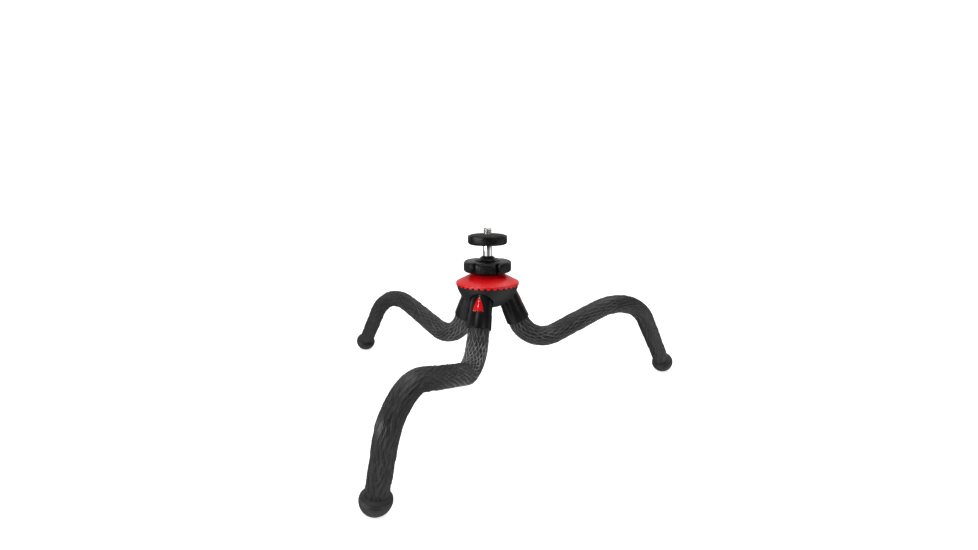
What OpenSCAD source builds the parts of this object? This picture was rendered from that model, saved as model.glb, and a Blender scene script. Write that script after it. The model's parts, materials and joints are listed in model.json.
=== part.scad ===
// Flexible leg tripod: a small ball head on a round hub, standing on three bendable rubber legs.
// Millimetres, +Z up. The origin is the centre of the platform pad, where a camera sits.

/* [Camera platform] */
// Diameter of the platform disc
platform_d = 29; // [26:0.5:36]
// Height of the platform, from its underside to the top of its pad
platform_h = 7; // [5.5:0.25:9]
// Radius of the platform's lower edge
platform_edge_r = 2; // [0.5:0.25:2.5]
// Width of the bare rim round the pad
pad_margin = 1.6; // [1:0.1:3]
// Thickness of the rubber pad
pad_t = 1.5; // [1.2:0.1:2]
// Height of the pad above the rim of the platform
pad_proud = 0.6; // [0.3:0.1:0.8]
// Number of ring grooves in the pad
pad_grooves = 3; // [1:1:4]
// Diameter of the camera screw, 1/4 inch as on every camera
screw_d = 6.35; // [5:0.05:7.5]
// Reach of the camera screw above the pad
screw_reach = 5; // [4:0.1:7]
// Diameter of the flange on the camera screw
screw_flange_d = 11; // [9:0.5:14]
// Thickness of the flange on the camera screw
screw_flange_t = 1; // [0.8:0.1:1.3]

/* [Ball and stem] */
// Depth of the ball's centre below the pad
ball_drop = 22.7; // [21:0.1:30]
// Diameter of the ball
ball_d = 16; // [15:0.1:16.4]
// Diameter of the polished stem
stem_d = 6.7; // [5.5:0.1:7]
// Depth of the stem's socket in the platform
stem_socket = 1.6; // [1:0.1:2]
// Height of the stem's foot above the ball's centre
stem_foot = 2.5; // [1:0.1:4]
// Diameter of the nylon cup under the ball
cup_d = 12.4; // [11:0.1:13]
// Thickness of the cup under the ball
cup_floor = 1.7; // [1:0.1:2.5]

/* [Lock knob] */
// Number of grip lobes on the knob
lobe_count = 6; // [3:1:6]
// Radius to the tips of the lobes
lobe_tip_r = 17.6; // [15:0.1:19]
// Width of one lobe
lobe_w = 14.4; // [8:0.1:15]
// Height of the lobes
lobe_h = 7.8; // [6:0.1:8]
// Height of the lobes' top above the ball's centre
lobe_rise = 3.4; // [2.5:0.1:4]
// Corner radius of a lobe, seen from above
lobe_corner_r = 1.2; // [0.6:0.1:3]
// Bevel on the rims of the lobes
lobe_bevel = 1; // [0.2:0.1:1.4]
// Direction of the first lobe, in degrees
lobe_turn = -80; // [-180:1:180]
// Diameter of the knob's core
knob_d = 20.7; // [20:0.1:24]
// Height of the knob's mouth above the ball's centre
mouth_rise = 4.5; // [4:0.1:5]
// Depth of the knob's lower edge below the ball's centre
knob_skirt = 5.8; // [5:0.1:8]

/* [Red cover] */
// Overhang of the cover past the hub
cover_lip = 0.4; // [0.2:0.1:1.5]
// Diameter of the cover's top edge
cover_top_d = 23; // [22.6:0.1:28]
// Height of the cover's cone
cover_cone_h = 6; // [4.5:0.1:9]
// Height of the cover's upright rim
cover_rim_h = 2.3; // [1.8:0.1:4]
// Wall of the cover
cover_wall = 1.4; // [1:0.1:1.8]
// Number of scallops along the rim
scallop_count = 32; // [16:1:36]
// Depth of a scallop
scallop_r = 1.1; // [0.6:0.1:1.5]

/* [Hub] */
// Diameter of the hub at the cover's rim
hub_d = 46; // [44:0.1:55]
// Depth of the hub below the cover's rim
hub_depth = 16; // [13:0.1:20]
// Diameter of the hub's flat bottom
hub_floor_d = 18; // [14:0.1:22]
// Radius of the bowl's side, seen in section
bowl_r = 21.1; // [20:0.1:30]
// Diameter of the boss that carries the cover
boss_d = 22; // [20.5:0.1:22.6]
// Diameter of the threaded neck
neck_d = 17; // [16.6:0.1:17.4]
// Depth of the neck below the cover's rim
neck_depth = 2; // [0.5:0.1:3]
// Thickness of the neck's flange
flange_t = 1.2; // [0.8:0.1:1.6]
// Diameter of the hub screw's shank
hub_screw_d = 4; // [3:0.1:5]
// Diameter of the hub screw's head
hub_screw_head_d = 8.2; // [6.5:0.1:9.5]
// Height of the hub screw's head
hub_screw_head_h = 2.8; // [2:0.1:3.5]

/* [Collars] */
// Lean of a collar from the vertical, in degrees
collar_lean = 24; // [20:0.5:26]
// Distance of a collar's lower end from the hub's axis
collar_reach = 24.1; // [23.5:0.1:27]
// Depth of a collar's lower end below the cover's rim
collar_drop = 28.4; // [27.5:0.1:33]
// Length of a collar
collar_l = 27; // [24:0.1:28]
// Diameter of a collar's lower end
collar_d = 18; // [17.4:0.1:20]
// Diameter of a collar's upper end
collar_top_d = 15.5; // [14.5:0.1:16.5]
// Step in the collar's side, just below the inlay
collar_step = 0.25; // [0.1:0.05:0.4]
// Height of the inlay's base above the collar's lower end
inlay_rise = 12; // [9:0.1:13]
// Height of the triangular inlay
inlay_h = 10.2; // [7:0.1:11]
// Width of the inlay's base
inlay_w = 7.6; // [5:0.1:9]
// Radius of the inlay's curved sides
inlay_side_r = 22; // [12:0.5:60]
// Height of the inlay above the collar
inlay_proud = 0.6; // [0.3:0.1:1]
// Gap round a collar where it leaves the hub
arch_gap = 0.7; // [0.4:0.1:1.2]
// Diameter of a leg screw's shank
leg_screw_d = 3; // [2.5:0.1:3.5]
// Diameter of a leg screw's head
leg_screw_head_d = 5.2; // [5:0.1:6]
// Height of a leg screw's head
leg_screw_head_h = 2; // [1.5:0.1:2.4]

/* [Legs] */
// Height of the pad above the ground
stand_h = 130.5; // [118:0.5:140]
// Length of a leg, from its collar to the middle of its foot, which its runs and bends share out
leg_l = 190.5; // [182:0.5:205]
// Diameter of the rubber skin at the collar
skin_d = 16.5; // [15.5:0.1:17.4]
// Diameter of the rubber skin at the foot
skin_end_d = 13.5; // [13:0.1:14.4]
// Diameter of the skin's spigot in the collar
spigot_d = 14.4; // [13:0.1:15]
// Length of the skin's spigot in the collar
spigot_l = 4; // [2.5:0.1:6]
// Diameter of the leg's metal core
core_d = 8.4; // [7.5:0.1:8.8]
// Diameter of the round nose at a flex point of the core
nose_d = 9.2; // [9:0.1:9.6]

/* [Feet] */
// Diameter of a foot
foot_d = 18.1; // [17.6:0.1:19]
// Height of the foot's sleeve, above the middle of its dome
foot_sleeve = 5.5; // [4.4:0.1:6.5]
// Depth of the flat that a foot is worn to
foot_flat = 0.5; // [0.3:0.1:0.8]
// Radius of the round shoulder at the top of a foot
foot_shoulder_r = 1.9; // [1.2:0.1:2]
// Radius of the groove round a foot
foot_groove_r = 0.8; // [0.4:0.1:1.2]
// Depth of that groove
foot_groove = 0.35; // [0.2:0.05:0.5]
// Place of that groove below the middle of the dome
foot_groove_drop = 0.7; // [0:0.1:1.5]

/* [Front leg bends] */
// Straight run below the collar
front_run_1 = 10.5; // [2:0.5:12]
// Radius of the first bend, which turns the leg outwards
front_radius_1 = 22.5; // [21:0.5:32]
// Turn of the first bend about the leg, in degrees
front_roll_1 = 3; // [-15:0.5:15]
// Straight run between the bends
front_run_2 = 69; // [58:0.5:76]
// Angle of the second bend, which turns the leg down
front_angle_2 = 107; // [95:1:115]
// Radius of the second bend
front_radius_2 = 23.5; // [21:0.5:30]
// Turn of the second bend about the leg, in degrees
front_roll_2 = -10; // [-30:1:30]
// Straight run above the foot
front_run_3 = 34.3; // [26:0.1:40]

/* [Right leg bends] */
// Straight run below the collar
right_run_1 = 1.5; // [1:0.5:10]
// Radius of the first bend, which turns the leg outwards
right_radius_1 = 23; // [20:0.5:28]
// Turn of the first bend about the leg, in degrees
right_roll_1 = 1; // [-15:0.5:15]
// Straight run between the bends
right_run_2 = 37.5; // [30:0.5:50]
// Angle of the second bend, which turns the leg down
right_angle_2 = 82; // [70:1:95]
// Radius of the second bend
right_radius_2 = 40; // [32:0.5:46]
// Turn of the second bend about the leg, in degrees
right_roll_2 = 19; // [-30:1:30]
// Straight run above the foot
right_run_3 = 57.9; // [50:0.1:66]

/* [Left leg bends] */
// Straight run below the collar
left_run_1 = 1.5; // [1:0.5:10]
// Radius of the first bend, which turns the leg outwards
left_radius_1 = 30; // [24:0.5:34]
// Turn of the first bend about the leg, in degrees
left_roll_1 = 2.5; // [-15:0.5:15]
// Straight run between the bends
left_run_2 = 43.5; // [36:0.5:52]
// Angle of the second bend, which turns the leg down
left_angle_2 = 72; // [65:1:85]
// Radius of the second bend
left_radius_2 = 49; // [36:0.5:54]
// Turn of the second bend about the leg, in degrees
left_roll_2 = 2; // [-30:1:30]
// Straight run above the foot
left_run_3 = 40.4; // [34:0.1:46]

/* [Hidden] */
$fn = 64;

// Clearances: a turning shaft, a ball in its socket, a fixed piece in its seat, two moving ends
run_gap = 0.08;
ball_gap = 0.15;
seat_gap = 0.15;
end_gap = 0.3;

// How far a cut runs past the face that it opens
cut_over = 0.5;

// Levels, from the platform down
stem_top_z = -platform_h + stem_socket - run_gap;
ball_z = -ball_drop;
lobe_top_z = ball_z + lobe_rise;
mouth_z = ball_z + mouth_rise;
knob_base_z = ball_z - knob_skirt;
cover_top_z = knob_base_z - end_gap + run_gap;
cover_edge_z = cover_top_z - cover_cone_h;
rim_z = cover_edge_z - cover_rim_h;
flange_z = cover_top_z - flange_t - run_gap;
boss_z = flange_z - cover_wall;
neck_base_z = rim_z - neck_depth;
hub_base_z = rim_z - hub_depth;
ground_z = -stand_h;

// Ball head
ball_r = ball_d / 2;
stem_r = stem_d / 2;
neck_r = neck_d / 2;
cup_r = cup_d / 2;
cup_base_z = ball_z - ball_r - ball_gap - cup_floor;
cup_land = 0.5;
cup_bore_d = 3;
cup_lip_z = ball_z - sqrt(pow(ball_r + ball_gap, 2) - pow(cup_r - cup_land, 2));
neck_lip_drop = 3.3;
mouth_r = sqrt(pow(ball_r + ball_gap, 2) - mouth_rise * mouth_rise);
mouth_flare = 0.5;
boss_taper = 1.2;
pad_r = platform_d / 2 - pad_margin;
groove_w = 0.8;
groove_depth = 0.4;
screw_relief = 0.3;

// Cover and hub
cover_r = hub_d / 2 + cover_lip;
cover_top_r = cover_top_d / 2;
cover_slope = cover_cone_h / (cover_r - cover_top_r);
cover_drop = cover_wall * sqrt(1 + cover_slope * cover_slope);
cover_seat_r = cover_r - cover_wall;
flange_r = cover_top_r - cover_wall;
hub_r = hub_d / 2;
hub_floor_r = hub_floor_d / 2;
ledge_h = 0.7;
screw_tap_l = 5.5;

// Collars and legs
LEGS = ["front", "right", "left"];
leg_azimuth = [-90, 30, 150];
collar_r = collar_d / 2;
collar_top_r = collar_top_d / 2;
collar_cap = 2;
collar_edge = 0.4;
socket_l = 10;
web_t = 2.2;
inlay_seat = 1.2;
core_r = core_d / 2;
nose_r = nose_d / 2;
core_bore = core_r + seat_gap;
bend_inset = 0.4;
bend_lap = 1;
skin_r = skin_d / 2;
skin_end_r = skin_end_d / 2;
spigot_r = spigot_d / 2;
skin_sides = 18;
skin_step = 5;
skin_bore = nose_r + seat_gap + end_gap;
foot_r = foot_d / 2;
foot_bore_z = 1;
foot_bore_r = skin_end_r + 0.15;
foot_mid_z = ground_z + foot_r - foot_flat;
leg_end = leg_l - foot_bore_z - end_gap;
LINK_COUNT = 5;

// Bends of each leg: run, radius, roll, run, angle, radius, roll, run
leg_bends = [
    [front_run_1, front_radius_1, front_roll_1, front_run_2,
        front_angle_2, front_radius_2, front_roll_2, front_run_3],
    [right_run_1, right_radius_1, right_roll_1, right_run_2,
        right_angle_2, right_radius_2, right_roll_2, right_run_3],
    [left_run_1, left_radius_1, left_roll_1, left_run_2,
        left_angle_2, left_radius_2, left_roll_2, left_run_3]
];

// Search for the angle of the first bend: from, to and how often the span is halved
bend_low = 40;
bend_high = 130;
halvings = 40;

// Rigid moves as matrices
function slide(x, y, z) = [[1, 0, 0, x], [0, 1, 0, y], [0, 0, 1, z], [0, 0, 0, 1]];
function tip(a) = [[cos(a), 0, sin(a), 0], [0, 1, 0, 0], [-sin(a), 0, cos(a), 0], [0, 0, 0, 1]];
function spin(a) = [[cos(a), -sin(a), 0, 0], [sin(a), cos(a), 0, 0], [0, 0, 1, 0], [0, 0, 0, 1]];

// Length of an arc
function arc_l(angle, radius) = angle * PI / 180 * radius;

// Frame at the collar's lower end: Z runs down the leg, X points to the side it bends to
function collar_end(leg) = spin(leg_azimuth[leg]) * slide(collar_reach, 0, rim_z - collar_drop)
    * tip(180 - collar_lean) * spin(180);

// Stretches of a leg, each with its roll, angle, radius and length
function stretches_at(b, bend_1) =
    let(
        arc_1 = arc_l(bend_1, b[1]),
        arc_2 = arc_l(b[4], b[5]),
        k = leg_l / (b[0] + arc_1 + b[3] + arc_2 + b[7])
    )
    [
        [0, 0, 0, k * b[0]],
        [b[2], bend_1, k * b[1], k * arc_1],
        [0, 0, 0, k * b[3]],
        [180 + b[6], b[4], k * b[5], k * arc_2],
        [0, 0, 0, k * b[7]]
    ];

// Frame at a distance into one stretch, with X carried along without twist
function along(st, s) = st[1] == 0
    ? slide(0, 0, s)
    : let(a = s / st[2] * 180 / PI)
        spin(st[0]) * slide(st[2] * (1 - cos(a)), 0, st[2] * sin(a)) * tip(a) * spin(-st[0]);

// Frame at the start of a stretch
function stretch_start(leg, sts, i) = i == 0
    ? collar_end(leg)
    : stretch_start(leg, sts, i - 1) * along(sts[i - 1], sts[i - 1][3]);

// Height of the middle of the foot, for an angle of the first bend
function foot_level(leg, bend_1) =
    let(sts = stretches_at(leg_bends[leg], bend_1))
    stretch_start(leg, sts, len(sts))[2][3];

// Angle of the first bend that sets the foot on the ground, found by halving
function level_bend(leg, low, high, n) =
    let(mid = (low + high) / 2)
    n == 0 ? mid
    : foot_level(leg, mid) < foot_mid_z ? level_bend(leg, mid, high, n - 1)
    : level_bend(leg, low, mid, n - 1);

leg_stretches = [
    for (leg = [0 : 2])
        stretches_at(leg_bends[leg], level_bend(leg, bend_low, bend_high, halvings))
];
leg_starts = [for (leg = [0 : 2]) [for (i = [0 : 5]) stretch_start(leg, leg_stretches[leg], i)]];

// Distance along the leg to the start of a stretch
function start_s(leg, i) = i == 0 ? 0 : start_s(leg, i - 1) + leg_stretches[leg][i - 1][3];

// Frame at a distance along the leg, also up inside the collar
function leg_frame(leg, s) = leg_frame_in(leg, s, 0);
function leg_frame_in(leg, s, i) =
    let(st = leg_stretches[leg][i])
    (s <= st[3] || i == len(leg_stretches[leg]) - 1)
    ? leg_starts[leg][i] * along(st, s)
    : leg_frame_in(leg, s - st[3], i + 1);

// Flex points, in the middle of the two bends and of the straight runs after them
function flex_s(leg, k) = start_s(leg, k) + leg_stretches[leg][k][3] / 2;

// Radius of the skin at a distance along the leg
function skin_r_at(s) = skin_r + (skin_end_r - skin_r) * s / leg_l;

// Profile of the pocket and the inlay: a tall triangle with softly curved sides
module inlay_outline(grow) {
    half_w = inlay_w / 2 + grow;
    top = inlay_h + 2 * grow;
    chord = sqrt(half_w * half_w + top * top);
    bow = sqrt(inlay_side_r * inlay_side_r - chord * chord / 4);
    centre_u = top / 2 - bow * half_w / chord;
    centre_v = half_w / 2 - bow * top / chord;
    translate([inlay_rise - grow, 0])
        intersection() {
            translate([centre_u, centre_v]) circle(r = inlay_side_r);
            translate([centre_u, -centre_v]) circle(r = inlay_side_r);
            translate([0, -half_w]) square([top, 2 * half_w]);
        }
}

// Stands a piece on the collar's lower end, with Z up the collar and X outwards
module on_collar(leg) {
    multmatrix(collar_end(leg)) rotate([180, 0, 0]) children();
}

// Outer radius of the collar at a height above its lower end
function collar_r_at(u) = collar_r + (collar_top_r - collar_r) * u / collar_l;

// Collar's outside, grown by a gap and drawn out past its lower end
module collar_envelope(grow, tail) {
    slope = (collar_r - collar_top_r) / collar_l;
    translate([0, 0, -tail])
        cylinder(h = collar_l + tail + grow, r1 = collar_r + tail * slope + grow,
            r2 = collar_top_r + grow);
}

// Camera platform
module platform() {
    color("#2b2b2d") rotate_extrude() difference() {
        union() {
            translate([0, -platform_h + platform_edge_r])
                square([platform_d / 2, platform_h - platform_edge_r - pad_proud]);
            translate([0, -platform_h]) square([platform_d / 2 - platform_edge_r, platform_edge_r]);
            translate([platform_d / 2 - platform_edge_r, -platform_h + platform_edge_r])
                circle(r = platform_edge_r);
        }
        translate([0, -pad_t]) square([pad_r, pad_t]);
        translate([0, -pad_t - screw_flange_t])
            square([screw_flange_d / 2 + seat_gap, screw_flange_t]);
        translate([0, -platform_h]) square([screw_d / 2 + run_gap, platform_h]);
        translate([0, -platform_h]) square([stem_r + run_gap, stem_socket]);
    }
}

// Rubber pad, with ring grooves
module platform_pad() {
    pitch = (pad_r - screw_d / 2) / (pad_grooves + 1);
    color("#1c1c1c") rotate_extrude() difference() {
        translate([screw_d / 2 + end_gap, -pad_t])
            square([pad_r - seat_gap - screw_d / 2 - end_gap, pad_t]);
        for (i = [1 : pad_grooves])
            translate([screw_d / 2 + i * pitch - groove_w / 2, -groove_depth])
                square([groove_w, 2 * groove_depth]);
    }
}

// Camera screw, held by its flange under the pad, with a thread relief below the pad's top
module camera_screw() {
    tip_bevel = screw_d / 8;
    shank_z = stem_top_z + run_gap;
    color("#c9c9cc") {
        translate([0, 0, shank_z]) cylinder(d = screw_d, h = -pad_t - screw_flange_t - shank_z);
        translate([0, 0, -pad_t - screw_flange_t]) cylinder(d = screw_flange_d, h = screw_flange_t);
        translate([0, 0, -pad_t]) cylinder(d = screw_d - 2 * screw_relief, h = pad_t);
        cylinder(d = screw_d, h = screw_reach - tip_bevel);
        translate([0, 0, screw_reach - tip_bevel])
            cylinder(d1 = screw_d, d2 = screw_d - 2 * tip_bevel, h = tip_bevel);
    }
}

// Polished stem between the ball and the platform
module stem() {
    edge = 0.3;
    foot_z = ball_z + stem_foot;
    color("#d6d6da") {
        translate([0, 0, foot_z]) cylinder(r = stem_r, h = stem_top_z - edge - foot_z);
        translate([0, 0, stem_top_z - edge]) cylinder(r1 = stem_r, r2 = stem_r - edge, h = edge);
    }
}

// Ball, drilled for the stem
module ball() {
    color("#222224") difference() {
        translate([0, 0, ball_z]) sphere(r = ball_r);
        translate([0, 0, ball_z + stem_foot]) cylinder(r = stem_r + run_gap / 2, h = ball_r);
    }
}

// Nylon cup that the ball turns in, with a grease hole in its floor
module ball_seat() {
    color("#e6e2d8") difference() {
        translate([0, 0, cup_base_z]) cylinder(r = cup_r, h = cup_lip_z - cup_base_z);
        translate([0, 0, ball_z]) sphere(r = ball_r + ball_gap);
        translate([0, 0, cup_base_z - cut_over]) cylinder(d = cup_bore_d, h = ball_r);
    }
}

// Outline of the knob's lobes, seen from above
module lobes_outline() {
    flat = lobe_w / 2 - lobe_corner_r;
    circle(d = knob_d);
    for (i = [0 : lobe_count - 1])
        rotate(lobe_turn + i * 360 / lobe_count) {
            translate([0, -lobe_w / 2]) square([lobe_tip_r - lobe_corner_r, lobe_w]);
            translate([0, -flat]) square([lobe_tip_r, 2 * flat]);
            for (side = [-1, 1])
                translate([lobe_tip_r - lobe_corner_r, side * flat]) circle(r = lobe_corner_r);
        }
}

// Lobed knob, which screws down on the neck and grips the ball
module lock_knob() {
    lobe_base_z = lobe_top_z - lobe_h;
    color("#242426") difference() {
        union() {
            intersection() {
                translate([0, 0, lobe_base_z]) linear_extrude(lobe_h) lobes_outline();
                union() {
                    translate([0, 0, lobe_base_z])
                        cylinder(r1 = lobe_tip_r - lobe_bevel, r2 = lobe_tip_r, h = lobe_bevel);
                    translate([0, 0, lobe_base_z + lobe_bevel])
                        cylinder(r = lobe_tip_r, h = lobe_h - 2 * lobe_bevel);
                    translate([0, 0, lobe_top_z - lobe_bevel])
                        cylinder(r1 = lobe_tip_r, r2 = lobe_tip_r - lobe_bevel, h = lobe_bevel);
                }
            }
            translate([0, 0, knob_base_z]) cylinder(d = knob_d, h = lobe_top_z - knob_base_z);
            translate([0, 0, lobe_top_z])
                cylinder(d1 = knob_d - boss_taper, d2 = knob_d - 3 * boss_taper, h = mouth_z - lobe_top_z);
        }
        translate([0, 0, knob_base_z - cut_over]) cylinder(r = neck_r + run_gap, h = knob_skirt + cut_over);
        translate([0, 0, ball_z]) sphere(r = ball_r + ball_gap);
        translate([0, 0, mouth_z - mouth_flare])
            cylinder(r1 = mouth_r, r2 = mouth_r + mouth_flare, h = mouth_flare);
    }
}

// Threaded neck, with the flange that clamps the cover
module hub_neck() {
    lip_z = ball_z - neck_lip_drop;
    color("#303032") difference() {
        union() {
            translate([0, 0, neck_base_z]) cylinder(r = neck_r, h = lip_z - neck_base_z);
            translate([0, 0, flange_z]) cylinder(r = flange_r - seat_gap, h = flange_t);
        }
        translate([0, 0, cup_base_z - run_gap]) cylinder(r = cup_r + run_gap, h = ball_drop);
        translate([0, 0, ball_z]) sphere(r = ball_r + end_gap);
        translate([0, 0, neck_base_z - cut_over])
            cylinder(d = hub_screw_d + run_gap, h = screw_tap_l + cut_over);
    }
}

// Red cover with a scalloped rim
module cover() {
    inner_edge_z = cover_edge_z + cover_wall * cover_slope - cover_drop;
    ring_r = cover_r - (boss_z + cover_drop - cover_edge_z) / cover_slope;
    color("#d8262b") difference() {
        rotate_extrude() polygon([
            [cover_r, rim_z], [cover_r, cover_edge_z], [cover_top_r, cover_top_z],
            [flange_r, cover_top_z], [flange_r, flange_z], [neck_r + seat_gap, flange_z],
            [neck_r + seat_gap, boss_z], [ring_r, boss_z], [cover_seat_r, inner_edge_z],
            [cover_seat_r, rim_z]
        ]);
        for (i = [0 : scallop_count - 1])
            rotate([0, 0, i * 360 / scallop_count])
                translate([cover_seat_r - cover_wall, 0, rim_z])
                    rotate([0, 90, 0]) cylinder(r = scallop_r, h = 3 * cover_wall);
    }
}

// Section of the hub: a bowl with a ledge inside the cover's rim and a boss under the neck
module hub_section() {
    chord = sqrt(pow(hub_r - hub_floor_r, 2) + hub_depth * hub_depth);
    bow = sqrt(bowl_r * bowl_r - chord * chord / 4);
    centre_x = (hub_r + hub_floor_r) / 2 - bow * hub_depth / chord;
    centre_z = (rim_z + hub_base_z) / 2 + bow * (hub_r - hub_floor_r) / chord;
    intersection() {
        translate([centre_x, centre_z]) circle(r = bowl_r);
        translate([0, hub_base_z]) square([hub_r, hub_depth]);
    }
    translate([0, hub_base_z]) square([hub_floor_r, hub_depth]);
    translate([0, rim_z]) square([cover_seat_r - seat_gap, ledge_h]);
    translate([0, rim_z]) square([boss_d / 2, boss_z - rim_z]);
}

// Moulded hub, with sockets for the collars
module hub_body() {
    arch_tail = 12;
    color("#4a4b4e") difference() {
        rotate_extrude() hub_section();
        translate([0, 0, neck_base_z])
            cylinder(r = neck_r + seat_gap, h = boss_z - neck_base_z + cut_over);
        translate([0, 0, hub_base_z - cut_over]) cylinder(d = hub_screw_d + 2 * seat_gap, h = hub_depth);
        translate([0, 0, hub_base_z - cut_over])
            cylinder(d = hub_screw_head_d + 2 * seat_gap, h = hub_screw_head_h + end_gap + cut_over);
        for (leg = [0 : 2]) on_collar(leg) {
            collar_envelope(seat_gap, arch_tail);
            intersection() {
                collar_envelope(arch_gap, arch_tail);
                translate([0, -hub_r, -arch_tail])
                    cube([hub_r, hub_d, arch_tail + collar_l - collar_cap]);
            }
            cylinder(d = leg_screw_d + 2 * seat_gap, h = collar_l + 2 * web_t);
            translate([0, 0, collar_l + web_t])
                cylinder(d = leg_screw_head_d + 2 * seat_gap, h = hub_depth);
        }
    }
}

// Screw that draws the neck down into the hub, from below
module hub_screw() {
    seat_z = hub_base_z + end_gap + hub_screw_head_h;
    color("#8d8f93") {
        translate([0, 0, seat_z])
            cylinder(d = hub_screw_d, h = neck_base_z + screw_tap_l - seat_z - end_gap);
        difference() {
            translate([0, 0, seat_z - hub_screw_head_h])
                cylinder(d = hub_screw_head_d, h = hub_screw_head_h);
            for (a = [0, 90])
                rotate([0, 0, a]) translate([-hub_screw_d / 2, -0.5, seat_z - hub_screw_head_h])
                    cube([hub_screw_d, 1, hub_screw_head_h / 2]);
        }
    }
}

// Screws that hold the leg cores, from under the cover
module leg_screws() {
    shank_l = web_t + collar_cap + socket_l - 2 * end_gap;
    color("#8d8f93") for (leg = [0 : 2]) on_collar(leg) {
        translate([0, 0, collar_l + web_t - shank_l]) cylinder(d = leg_screw_d, h = shank_l);
        translate([0, 0, collar_l + web_t])
            cylinder(d = leg_screw_head_d, h = leg_screw_head_h);
    }
}

// Collar, a tapered tube with a pocket for the inlay
module collar(leg) {
    step_u = inlay_rise - 1;
    color("#1d1d1f") on_collar(leg) difference() {
        rotate_extrude() polygon([
            [0, 0], [collar_r - collar_edge, 0], [collar_r, collar_edge],
            [collar_r_at(step_u), step_u], [collar_r_at(step_u) - collar_step, step_u],
            [collar_top_r, collar_l - collar_edge], [collar_top_r - collar_edge, collar_l],
            [0, collar_l]
        ]);
        translate([0, 0, -cut_over])
            cylinder(r = spigot_r + seat_gap, h = spigot_l + end_gap + cut_over);
        cylinder(r = core_bore, h = collar_l - collar_cap);
        cylinder(d = leg_screw_d + 2 * seat_gap, h = collar_l + cut_over);
        translate([collar_top_r - inlay_seat, 0, 0])
            rotate([0, 90, 0]) mirror([1, 0, 0]) linear_extrude(collar_r) inlay_outline(run_gap);
    }
}

// Red triangular inlay, following the collar's round side
module inlay(leg) {
    color("#e0202a") on_collar(leg) intersection() {
        translate([collar_top_r - inlay_seat, 0, 0])
            rotate([0, 90, 0]) mirror([1, 0, 0]) linear_extrude(collar_r) inlay_outline(0);
        collar_envelope(inlay_proud, 0);
    }
}

// Rubber skin: a tapered tube swept along the bends, with a spigot that plugs into the collar
module skin(leg) {
    steps = ceil(leg_end / skin_step);
    stations = [for (i = [0 : steps]) leg_end * i / steps];
    rings = concat(
        [[-spigot_l, skin_bore], [-spigot_l, spigot_r], [0, spigot_r]],
        [for (s = stations) [s, skin_r_at(s)]],
        [for (i = [steps : -1 : 0]) [stations[i], skin_bore]]
    );
    points = [
        for (ring = rings)
            let(m = leg_frame(leg, ring[0]))
            for (j = [0 : skin_sides - 1])
                let(a = j * 360 / skin_sides, p = m * [ring[1] * cos(a), ring[1] * sin(a), 0, 1])
                [p[0], p[1], p[2]]
    ];
    count = len(rings);
    faces = [
        for (i = [0 : count - 1])
            for (j = [0 : skin_sides - 1])
                let(
                    k = (j + 1) % skin_sides,
                    a = i * skin_sides,
                    b = (i + 1) % count * skin_sides
                )
                each [[a + j, b + k, a + k], [a + j, b + j, b + k]]
    ];
    color("#29292b") polyhedron(points, faces);
}

// Straight rod of the core, with or without a round nose at its far end
module core_rod(length, nosed) {
    rotate_extrude() {
        square([core_r, length]);
        if (nosed)
            intersection() {
                translate([0, length]) circle(r = nose_r);
                translate([0, length - nose_r]) square([nose_r, 2 * nose_r]);
            }
    }
}

// Bent rod of the core, which starts along Z and turns towards X
module core_bend(radius, length) {
    translate([radius, 0, 0]) rotate([90, 0, 180])
        rotate_extrude(angle = length / radius * 180 / PI)
            translate([radius, 0]) circle(r = core_r - bend_inset);
}

// One link of the metal core, which ends in a round nose at the next flex point
// A bent rod is a little slimmer, and laps into the straight ones beside it
module core(leg, k) {
    last = k == LINK_COUNT - 1;
    from = k == 0 ? -collar_l + collar_cap + end_gap : flex_s(leg, k) + nose_r + end_gap;
    to = last ? leg_end : flex_s(leg, k + 1);
    color("#a3a6ab") difference() {
        union() {
            for (i = [max(0, k - 1) : min(4, k + 1)]) {
                st = leg_stretches[leg][i];
                start = start_s(leg, i);
                end = start + st[3];
                bent = st[1] != 0;
                low = i == 0 || from > start ? from : start - (bent ? bend_lap : 0);
                high = to < end ? to : end + (bent ? bend_lap : 0);
                if (min(to, end) > from)
                    multmatrix(leg_starts[leg][i] * along(st, low - start) * spin(st[0])) {
                        if (bent) core_bend(st[2], high - low);
                        else core_rod(high - low, !last && to < end);
                    }
                if (bent && to > start && to < end)
                    multmatrix(leg_frame(leg, to)) sphere(r = nose_r);
            }
        }
        if (k == 0)
            on_collar(leg) translate([0, 0, collar_l - collar_cap - socket_l])
                cylinder(d = leg_screw_d + run_gap, h = socket_l);
    }
}

// Rubber foot: a domed cap with a round shoulder and a groove, worn flat where it stands
module foot(leg) {
    color("#202022") difference() {
        multmatrix(leg_frame(leg, leg_l)) rotate_extrude() difference() {
            union() {
                intersection() {
                    circle(r = foot_r);
                    square([foot_r, foot_r]);
                }
                translate([0, -foot_sleeve]) square([foot_r - foot_shoulder_r, foot_sleeve]);
                translate([0, -foot_sleeve + foot_shoulder_r])
                    square([foot_r, foot_sleeve - foot_shoulder_r]);
                translate([foot_r - foot_shoulder_r, -foot_sleeve + foot_shoulder_r])
                    circle(r = foot_shoulder_r);
            }
            translate([foot_r + foot_groove_r - foot_groove, foot_groove_drop])
                circle(r = foot_groove_r);
            translate([0, -foot_sleeve]) square([foot_bore_r, foot_sleeve - foot_bore_z]);
        }
        translate([-leg_l, -leg_l, ground_z - foot_d])
            translate([leg_frame(leg, leg_l)[0][3], leg_frame(leg, leg_l)[1][3], 0])
                cube([2 * leg_l, 2 * leg_l, foot_d]);
    }
}

LEG_PIECES = ["collar", "inlay", "skin", "foot"];

platform();
platform_pad();
camera_screw();
stem();
ball();
ball_seat();
lock_knob();
hub_neck();
cover();
hub_body();
hub_screw();
leg_screws();
for (leg = [0 : 2]) {
    collar(leg);
    inlay(leg);
    skin(leg);
    foot(leg);
    for (k = [0 : LINK_COUNT - 1])
        core(leg, k);
}
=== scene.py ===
import json
import math

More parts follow.
